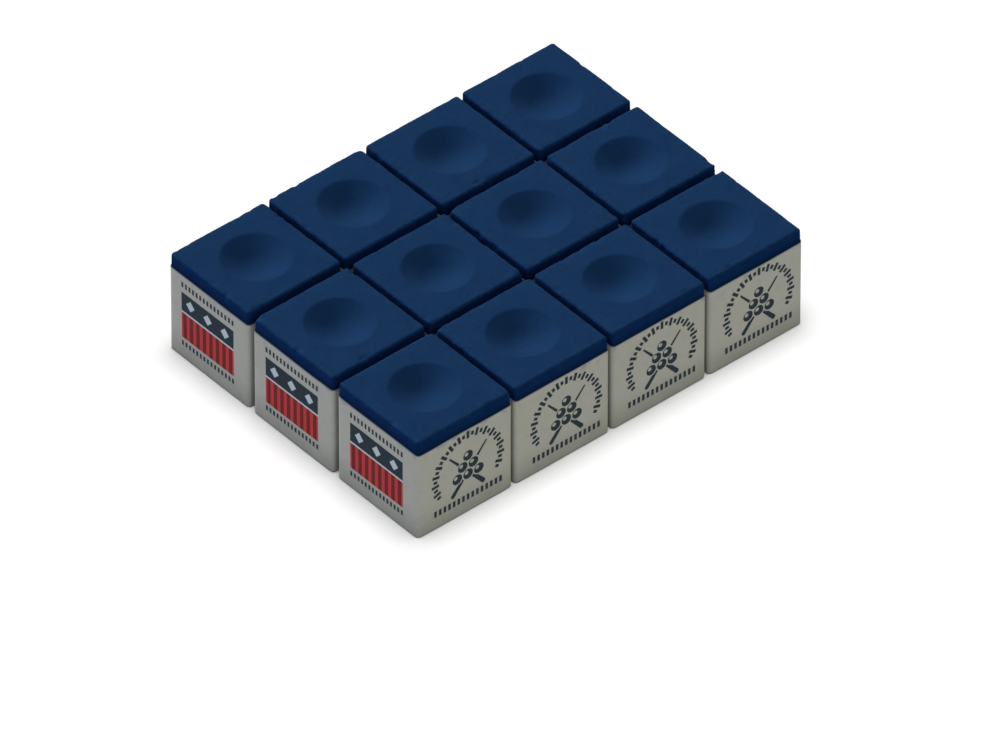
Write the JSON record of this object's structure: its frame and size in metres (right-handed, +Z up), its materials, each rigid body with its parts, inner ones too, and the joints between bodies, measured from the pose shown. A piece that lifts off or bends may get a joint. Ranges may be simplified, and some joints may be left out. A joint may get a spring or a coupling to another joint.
{
  "type": "cue chalk cubes",
  "caption": "Loose cue chalk cubes standing in a block of rows: pressed blue chalk with a shallow round dimple in the top and a printed paper label wrapped round the sides.",
  "frame": {"origin": "centre of the block's footprint, on the surface that it stands on", "axes": "+X along the long side of the block, across the four columns c1 to c4; +Y along the short side, across the three rows r1 to r3; +Z up, towards the dimples"},
  "size_m": [0.0904, 0.0688, 0.0222],
  "materials": {
    "pressed_chalk": "dry matte pressed powder",
    "label_paper": "matte printed paper"
  },
  "bodies": {
    "cube_r2c2": {"chalk_block_r2c2": "pressed_chalk", "paper_label_r2c2": "label_paper"},
    "cube_r1c1": {"chalk_block_r1c1": "pressed_chalk", "paper_label_r1c1": "label_paper"},
    "cube_r1c2": {"chalk_block_r1c2": "pressed_chalk", "paper_label_r1c2": "label_paper"},
    "cube_r1c3": {"chalk_block_r1c3": "pressed_chalk", "paper_label_r1c3": "label_paper"},
    "cube_r1c4": {"chalk_block_r1c4": "pressed_chalk", "paper_label_r1c4": "label_paper"},
    "cube_r2c1": {"chalk_block_r2c1": "pressed_chalk", "paper_label_r2c1": "label_paper"},
    "cube_r2c3": {"chalk_block_r2c3": "pressed_chalk", "paper_label_r2c3": "label_paper"},
    "cube_r2c4": {"chalk_block_r2c4": "pressed_chalk", "paper_label_r2c4": "label_paper"},
    "cube_r3c1": {"chalk_block_r3c1": "pressed_chalk", "paper_label_r3c1": "label_paper"},
    "cube_r3c2": {"chalk_block_r3c2": "pressed_chalk", "paper_label_r3c2": "label_paper"},
    "cube_r3c3": {"chalk_block_r3c3": "pressed_chalk", "paper_label_r3c3": "label_paper"},
    "cube_r3c4": {"chalk_block_r3c4": "pressed_chalk", "paper_label_r3c4": "label_paper"}
  },
  "joints": [
    {"name": "lift_r1c1", "type": "slide", "parent": "cube_r2c2", "child": "cube_r1c1", "axis": [0, 0, 1], "range_m": [0, 0.03]},
    {"name": "lift_r1c2", "type": "slide", "parent": "cube_r2c2", "child": "cube_r1c2", "axis": [0, 0, 1], "range_m": [0, 0.03]},
    {"name": "lift_r1c3", "type": "slide", "parent": "cube_r2c2", "child": "cube_r1c3", "axis": [0, 0, 1], "range_m": [0, 0.03]},
    {"name": "lift_r1c4", "type": "slide", "parent": "cube_r2c2", "child": "cube_r1c4", "axis": [0, 0, 1], "range_m": [0, 0.03]},
    {"name": "lift_r2c1", "type": "slide", "parent": "cube_r2c2", "child": "cube_r2c1", "axis": [0, 0, 1], "range_m": [0, 0.03]},
    {"name": "lift_r2c3", "type": "slide", "parent": "cube_r2c2", "child": "cube_r2c3", "axis": [0, 0, 1], "range_m": [0, 0.03]},
    {"name": "lift_r2c4", "type": "slide", "parent": "cube_r2c2", "child": "cube_r2c4", "axis": [0, 0, 1], "range_m": [0, 0.03]},
    {"name": "lift_r3c1", "type": "slide", "parent": "cube_r2c2", "child": "cube_r3c1", "axis": [0, 0, 1], "range_m": [0, 0.03]},
    {"name": "lift_r3c2", "type": "slide", "parent": "cube_r2c2", "child": "cube_r3c2", "axis": [0, 0, 1], "range_m": [0, 0.03]},
    {"name": "lift_r3c3", "type": "slide", "parent": "cube_r2c2", "child": "cube_r3c3", "axis": [0, 0, 1], "range_m": [0, 0.03]},
    {"name": "lift_r3c4", "type": "slide", "parent": "cube_r2c2", "child": "cube_r3c4", "axis": [0, 0, 1], "range_m": [0, 0.03]}
  ]
}
